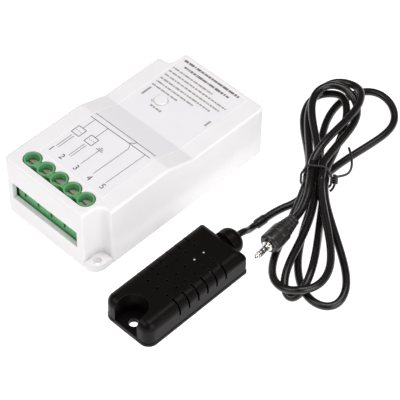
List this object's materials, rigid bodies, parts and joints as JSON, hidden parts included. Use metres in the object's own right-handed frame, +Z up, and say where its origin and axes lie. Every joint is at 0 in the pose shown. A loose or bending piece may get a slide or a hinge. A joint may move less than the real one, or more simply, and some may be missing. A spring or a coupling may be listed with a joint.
{
  "type": "wi-fi smart switch with sensor probe",
  "caption": "White relay switch module with green screw terminals and a button, and a plug-in temperature and humidity probe on a tied-up cord.",
  "frame": {"origin": "middle of the module's underside, on the surface it lies on", "axes": "+Z up, +Y along the module from its screw terminals to its jack, +X to the right, where the probe lies"},
  "size_m": [0.1296, 0.1626, 0.0295],
  "materials": {
    "white_plastic": "fine matt moulded",
    "green_plastic": "satin moulded",
    "black_plastic": "fine matt moulded",
    "blue_plastic": "satin moulded",
    "yellow_plastic": "satin",
    "grip_plastic": "satin moulded",
    "lamp_plastic": "clear",
    "fuse_glass": "clear",
    "board": "glass-filled board",
    "steel": "bright plated",
    "screw_steel": "bright plated",
    "plug_metal": "bright plated",
    "brass": "tinned",
    "copper": "enamelled copper wire",
    "cord": "semi-gloss jacket",
    "tie_wire": "coated wire"
  },
  "bodies": {
    "housing": {"top_cover": "white_plastic", "base_plate": "white_plastic", "case_screws": "steel", "board_screws": "steel", "main_board": "board", "terminal_block": "green_plastic", "terminal_contacts": "brass", "push_switch_body": "black_plastic", "relay_base": "black_plastic", "relay_case": "blue_plastic", "relay_yoke": "steel", "relay_coil": "copper", "relay_fixed_contact": "brass", "fuse": "fuse_glass", "varistor": "blue_plastic", "safety_capacitor": "yellow_plastic", "transformer_core": "steel", "transformer_winding": "yellow_plastic", "electrolytic_capacitors": "black_plastic", "radio_board": "board", "radio_shield": "steel", "signal_lamps": "lamp_plastic", "jack_socket": "black_plastic", "jack_springs": "brass", "probe_cover": "black_plastic", "probe_base": "black_plastic", "probe_board": "board", "probe_sensor": "white_plastic", "probe_gland": "black_plastic", "sensor_lead": "cord", "lead_sleeve": "cord", "cord_run": "cord", "cord_hank": "cord", "plug_lead": "cord", "twist_tie": "tie_wire", "plug_grip": "grip_plastic", "plug_poles": "plug_metal", "plug_rings": "black_plastic"},
    "reset_button": {"reset_button": "white_plastic"},
    "push_switch_plunger": {"push_switch_plunger": "black_plastic"},
    "terminal_screw_1": {"terminal_screw_1": "screw_steel"},
    "terminal_screw_2": {"terminal_screw_2": "screw_steel"},
    "terminal_screw_3": {"terminal_screw_3": "screw_steel"},
    "terminal_screw_4": {"terminal_screw_4": "screw_steel"},
    "terminal_screw_5": {"terminal_screw_5": "screw_steel"},
    "clamp_cage_1": {"clamp_cage_1": "brass"},
    "clamp_cage_2": {"clamp_cage_2": "brass"},
    "clamp_cage_3": {"clamp_cage_3": "brass"},
    "clamp_cage_4": {"clamp_cage_4": "brass"},
    "clamp_cage_5": {"clamp_cage_5": "brass"},
    "armature": {"relay_armature": "steel", "relay_contact_blade": "brass"}
  },
  "joints": [
    {"name": "button_press", "type": "slide", "parent": "housing", "child": "reset_button", "axis": [0, 0, -1], "range_m": [0, 0.0003], "stiffness_N_per_m": 1500, "springref_m": -0.0005},
    {"name": "plunger_press", "type": "slide", "parent": "housing", "child": "push_switch_plunger", "axis": [0, 0, -1], "range_m": [0, 0.0003]},
    {"name": "screw_turn_1", "type": "hinge", "parent": "housing", "child": "terminal_screw_1", "pos_m": [-0.0166, -0.04, 0.024], "axis": [0, 0, -1], "range_deg": [0, 1800]},
    {"name": "cage_lift_1", "type": "slide", "parent": "housing", "child": "clamp_cage_1", "axis": [0, 0, 1], "range_m": [0, 0.0025]},
    {"name": "screw_turn_2", "type": "hinge", "parent": "housing", "child": "terminal_screw_2", "pos_m": [-0.0091, -0.04, 0.024], "axis": [0, 0, -1], "range_deg": [0, 1800]},
    {"name": "cage_lift_2", "type": "slide", "parent": "housing", "child": "clamp_cage_2", "axis": [0, 0, 1], "range_m": [0, 0.0025]},
    {"name": "screw_turn_3", "type": "hinge", "parent": "housing", "child": "terminal_screw_3", "pos_m": [-0.0016, -0.04, 0.024], "axis": [0, 0, -1], "range_deg": [0, 1800]},
    {"name": "cage_lift_3", "type": "slide", "parent": "housing", "child": "clamp_cage_3", "axis": [0, 0, 1], "range_m": [0, 0.0025]},
    {"name": "screw_turn_4", "type": "hinge", "parent": "housing", "child": "terminal_screw_4", "pos_m": [0.0059, -0.04, 0.024], "axis": [0, 0, -1], "range_deg": [0, 1800]},
    {"name": "cage_lift_4", "type": "slide", "parent": "housing", "child": "clamp_cage_4", "axis": [0, 0, 1], "range_m": [0, 0.0025]},
    {"name": "screw_turn_5", "type": "hinge", "parent": "housing", "child": "terminal_screw_5", "pos_m": [0.0134, -0.04, 0.024], "axis": [0, 0, -1], "range_deg": [0, 1800]},
    {"name": "cage_lift_5", "type": "slide", "parent": "housing", "child": "clamp_cage_5", "axis": [0, 0, 1], "range_m": [0, 0.0025]},
    {"name": "armature_pull", "type": "hinge", "parent": "housing", "child": "armature", "pos_m": [0.0084, -0.01392, 0.0083], "axis": [1, 0, 0], "range_deg": [0, 4.4], "stiffness_Nm_per_rad": 0.02, "springref_deg": -6.88}
  ],
  "couplings": [
    {"joint": "plunger_press", "follows": "button_press", "ratio": 1},
    {"joint": "screw_turn_1", "follows": "cage_lift_1", "rad_per_m": 12566},
    {"joint": "screw_turn_2", "follows": "cage_lift_2", "rad_per_m": 12566},
    {"joint": "screw_turn_3", "follows": "cage_lift_3", "rad_per_m": 12566},
    {"joint": "screw_turn_4", "follows": "cage_lift_4", "rad_per_m": 12566},
    {"joint": "screw_turn_5", "follows": "cage_lift_5", "rad_per_m": 12566}
  ]
}
